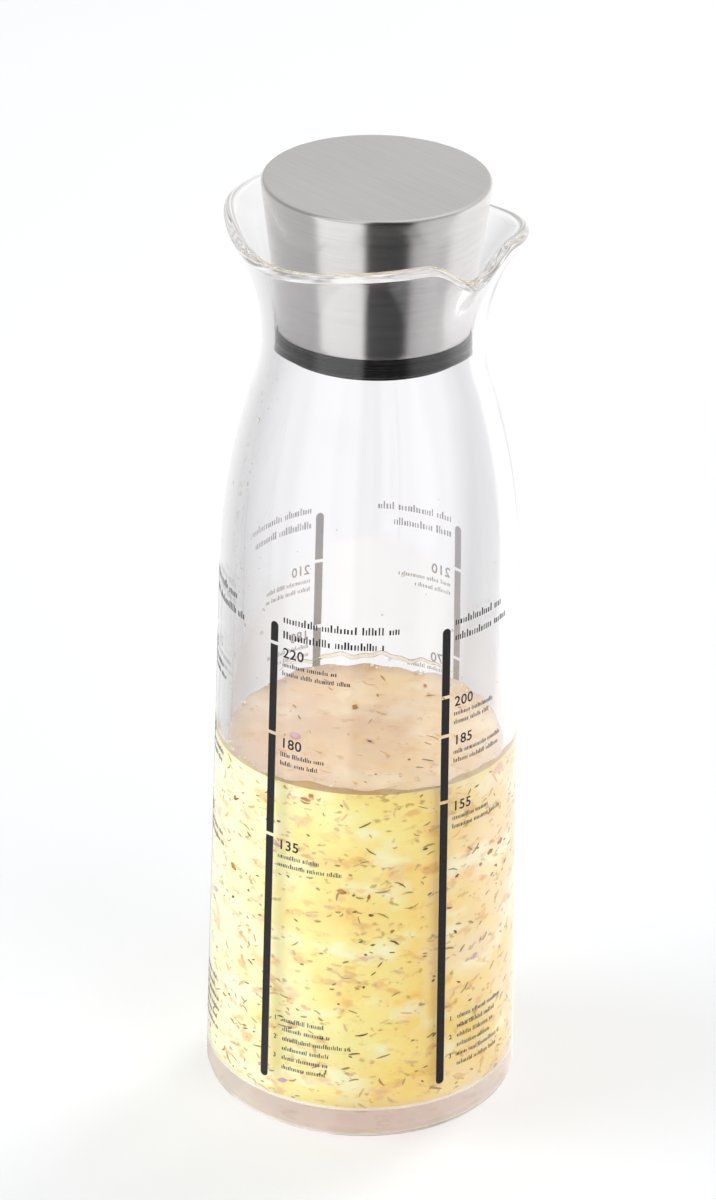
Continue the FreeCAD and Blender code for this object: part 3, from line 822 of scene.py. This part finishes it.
def add_number(points, faces, text, theta, across, z, tall):
    """A printed number, as flat outlines bent round the glass."""
    curve = bpy.data.curves.new("number", "FONT")
    curve.body = text
    curve.size = tall / 0.7
    curve.space_character = 1.08
    curve.offset = 0.02 * tall
    holder = bpy.data.objects.new("number", curve)
    flat = bpy.data.meshes.new_from_object(holder)
    bpy.data.objects.remove(holder)
    first = len(points)
    points += [on_glass(theta, z, across + vertex.co.x, vertex.co.y) for vertex in flat.vertices]
    faces += [[first + index for index in polygon.vertices] for polygon in flat.polygons]


def add_block(points, faces, theta, across, z, wide, tall):
    """A small printed block."""
    first = len(points)
    corners = ((0, 0), (wide, 0), (wide, tall), (0, tall))
    points += [on_glass(theta, z, across + u, v) for u, v in corners]
    faces.append([first, first + 1, first + 2, first + 3])


def add_text_row(points, faces, chance, theta, across, z, length, tall):
    """A row of small blocks in groups, which stands for a line of small print."""
    at = 0.0
    while at < length:
        for block in range(chance.randint(6, 16)):
            wide = tall * chance.uniform(0.14, 0.26)
            high = tall * chance.choice((0.62, 0.7, 0.7, 1.0))
            if at + wide > length:
                return
            add_block(points, faces, theta, across + at, z, wide, high)
            at += wide + tall * chance.uniform(0.14, 0.26)
        at += 0.45 * tall


def print_scale(index, theta, drops, titles):
    """The print beside one bar: a title, the volume at each mark, and a list at the foot."""
    chance = random.Random(40 + index)
    points = []
    faces = []
    for row, length in enumerate(titles):
        z = BAR_TOP + 0.3 - 3.2 * row
        add_text_row(points, faces, chance, theta, TEXT_START, z, length, TITLE_TALL)
    for drop in drops:
        z = BAR_TOP - drop
        millilitres = 5 * round(volume_below(z) / 5)
        add_number(points, faces, str(millilitres), theta, TEXT_START, z - 2.4, NUMBER_TALL)
        for lower in (4.3, 6.1):
            length = chance.uniform(8, 14)
            add_text_row(points, faces, chance, theta, TEXT_START, z - lower, length, SMALL_TALL)
    for row in range(6):
        z = 24.6 - 2.05 * row
        if row % 2 == 0:
            add_number(points, faces, str(row // 2 + 1), theta, TEXT_START, z, SMALL_TALL)
        length = chance.uniform(8, 14)
        add_text_row(points, faces, chance, theta, 2 * TEXT_START, z, length, SMALL_TALL)
    finish_mesh("printed_scale_%d" % index, points, faces, "carafe", enamel, thick=PRINT_THICK)


# Each bar: its angle, how far its marks lie below its top, and the lengths of its title.
BARS = [
    (-78.7, (44.5, 23.1, 4.4), (23.0, 20.0)),
    (-9.9, (36.2, 22.3, 14.2), (13.0, 15.0)),
    (98.6, (50.3, 28.3, 9.3), (17.0, 14.0)),
    (160.6, (42.3, 24.3, 10.3), (19.0, 16.0)),
    (224.0, (47.3, 30.3, 12.3), (16.0, 18.0)),
]
for index, (theta, marks, titles) in enumerate(BARS, start=1):
    print_scale(index, theta, marks, titles)


# Studio
# Two rings of cards, as levels by angle to the right of the camera. A ray that was
# reflected sees the metal cards, where a dark one stands beside the camera. A ray that
# only came through glass sees the glass cards, which are greyer at the sides. The
# heights dim both above the floor.
METAL_CARDS = [(-180, 0.8), (-168, 0.78), (-130, 0.56), (-112, 0.5), (-66, 0.44), (-60, 0.9), (-14, 0.84),
               (-8, 0.05), (34, 0.04), (42, 0.44), (60, 0.58), (82, 0.58), (94, 0.88), (150, 0.9), (179, 0.8)]
METAL_LEVEL = 1.25
METAL_HEIGHTS = [(0.05, 1.0), (0.2, 0.65), (0.5, 0.65), (0.9, 0.9)]
GLASS_CARDS = [(-180, 1.0), (-171, 0.86), (-162, 0.6), (-141, 0.5), (-125, 0.42), (-100, 0.5), (-80, 0.85),
               (60, 0.95), (85, 0.8), (110, 0.5), (130, 0.6), (145, 1.0), (154, 1.0), (159, 0.7),
               (169, 0.7), (173, 0.95), (179, 0.98)]
GLASS_LEVEL = 1.08
GLASS_HEIGHTS = [(0.1, 1.0), (0.3, 0.7), (0.6, 0.7), (0.9, 1.0)]
PLAIN_LEVEL = 0.6
BOUNCES = 32


def add_cards(nodes, links, coords, cards):
    """Grey levels by direction round the bottle."""
    spin = nodes.new("ShaderNodeMapping")
    spin.inputs["Rotation"].default_value = (0, 0, -CAMERA_SIDE)
    around = nodes.new("ShaderNodeTexGradient")
    around.gradient_type = "RADIAL"
    links.new(coords, spin.inputs["Vector"])
    links.new(spin.outputs["Vector"], around.inputs["Vector"])
    return add_ramp(nodes, links, around.outputs["Fac"], [(0.5 + side / 360, level) for side, level in cards])


def add_seen(nodes, links, coords):
    """Which rays see the cards: those that were reflected, and those that only came through glass."""
    path = nodes.new("ShaderNodeLightPath")
    seen = add_math(nodes, links, "MAXIMUM", path.outputs["Is Glossy Ray"], path.outputs["Is Transmission Ray"])
    reflected = add_math(nodes, links, "GREATER_THAN", path.outputs["Glossy Depth"], 0.5)
    mirrored = add_math(nodes, links, "MULTIPLY", seen, reflected)
    through = add_math(nodes, links, "SUBTRACT", seen, mirrored)
    mirrored = add_math(nodes, links, "MULTIPLY", mirrored, METAL_LEVEL)
    through = add_math(nodes, links, "MULTIPLY", through, GLASS_LEVEL)
    metal = add_math(nodes, links, "MULTIPLY", mirrored, add_cards(nodes, links, coords, METAL_CARDS))
    clear = add_math(nodes, links, "MULTIPLY", through, add_cards(nodes, links, coords, GLASS_CARDS))
    return path, seen, metal, clear


def studio_floor():
    """A plain white floor that keeps the object's shadow."""
    bpy.ops.mesh.primitive_grid_add(x_subdivisions=8, y_subdivisions=8, size=6, location=(0, 0, -0.0004))
    floor = bpy.context.object
    floor.name = "studio_floor"
    material, nodes, links, shader = new_material("studio_floor")
    grain = add_noise(nodes, links, 3, 3)
    tone = add_ramp(nodes, links, grain, [(0.3, (0.76, 0.775, 0.79)), (0.7, (0.78, 0.795, 0.81))])
    links.new(tone, shader.inputs["Base Color"])
    shader.inputs["Roughness"].default_value = 0.9
    coords = nodes.new("ShaderNodeTexCoord").outputs["Object"]
    path, seen, metal, clear = add_seen(nodes, links, coords)
    cards = nodes.new("ShaderNodeEmission")
    links.new(add_math(nodes, links, "ADD", metal, clear), cards.inputs["Strength"])
    add_shader_mix(nodes, links, seen, shader.outputs["BSDF"], cards.outputs["Emission"],
                   nodes["Material Output"].inputs["Surface"])
    floor.data.materials.append(material)


def studio_world():
    """White to the camera, a plain level of light on the object, and the cards to metal and glass."""
    world = bpy.data.worlds.new("studio")
    bpy.context.scene.world = world
    world.use_nodes = True
    nodes = world.node_tree.nodes
    links = world.node_tree.links
    coords = nodes.new("ShaderNodeTexCoord").outputs["Generated"]
    path, seen, metal, clear = add_seen(nodes, links, coords)
    height = nodes.new("ShaderNodeSeparateXYZ")
    links.new(coords, height.inputs["Vector"])
    metal_dimmer = add_ramp(nodes, links, height.outputs["Z"], METAL_HEIGHTS)
    metal = add_math(nodes, links, "MULTIPLY", metal, metal_dimmer)
    glass_dimmer = add_ramp(nodes, links, height.outputs["Z"], GLASS_HEIGHTS)
    clear = add_math(nodes, links, "MULTIPLY", clear, glass_dimmer)
    camera = path.outputs["Is Camera Ray"]
    level = add_math(nodes, links, "ADD", add_math(nodes, links, "ADD", metal, clear), camera)
    known = add_math(nodes, links, "ADD", seen, camera)
    rest = add_math(nodes, links, "SUBTRACT", 1, known)
    plain = add_math(nodes, links, "MULTIPLY", rest, PLAIN_LEVEL)
    links.new(add_math(nodes, links, "ADD", level, plain), nodes["Background"].inputs["Strength"])
    nodes["Background"].inputs["Color"].default_value = (1, 1, 1, 1)


def photo_camera():
    """The photographed view."""
    towards = Vector((math.cos(CAMERA_RISE) * math.cos(CAMERA_SIDE),
                      math.cos(CAMERA_RISE) * math.sin(CAMERA_SIDE),
                      math.sin(CAMERA_RISE)))
    right = Vector((0, 0, 1)).cross(towards).normalized()
    above = towards.cross(right)
    rolled_right = math.cos(CAMERA_ROLL) * right + math.sin(CAMERA_ROLL) * above
    rolled_above = math.cos(CAMERA_ROLL) * above - math.sin(CAMERA_ROLL) * right
    axes = Matrix((rolled_right, rolled_above, towards)).transposed().to_4x4()
    data = bpy.data.cameras.new("photo_view")
    camera = bpy.data.objects.new("photo_view", data)
    bpy.context.scene.collection.objects.link(camera)
    camera.matrix_world = Matrix.Translation(AIM + CAMERA_AWAY * towards) @ axes
    data.sensor_fit = "VERTICAL"
    data.sensor_height = 24
    data.lens = data.sensor_height * FOCAL_PIXELS / FRAME_TALL
    data.shift_x = (FRAME_WIDE / 2 - AIM_PIXEL[0]) / FRAME_TALL
    data.shift_y = (AIM_PIXEL[1] - FRAME_TALL / 2) / FRAME_TALL
    bpy.context.scene.camera = camera


def add_lamp(name, side, height, away, size, power):
    """A soft lamp at an angle to the right of the camera, aimed at the bottle."""
    data = bpy.data.lights.new(name, "AREA")
    data.shape = "RECTANGLE"
    data.size, data.size_y = size
    data.energy = power
    lamp = bpy.data.objects.new(name, data)
    bpy.context.scene.collection.objects.link(lamp)
    where = CAMERA_SIDE + math.radians(side)
    lamp.location = (away * math.cos(where), away * math.sin(where), height)
    lamp.rotation_euler = (AIM - lamp.location).to_track_quat("-Z", "Y").to_euler()
    lamp.visible_glossy = False
    lamp.visible_transmission = False


studio_floor()
studio_world()
photo_camera()
add_lamp("key_lamp", 140, 0.9, 1.1, (0.5, 0.5), 9)
add_lamp("left_lamp", -80, 0.6, 1.2, (0.8, 1.0), 13)
add_lamp("right_lamp", 40, 0.8, 1.3, (0.8, 1.0), 8)
bpy.context.scene.cycles.max_bounces = BOUNCES
bpy.context.scene.cycles.glossy_bounces = BOUNCES
bpy.context.scene.cycles.transmission_bounces = BOUNCES
bpy.context.scene.view_settings.view_transform = "Standard"
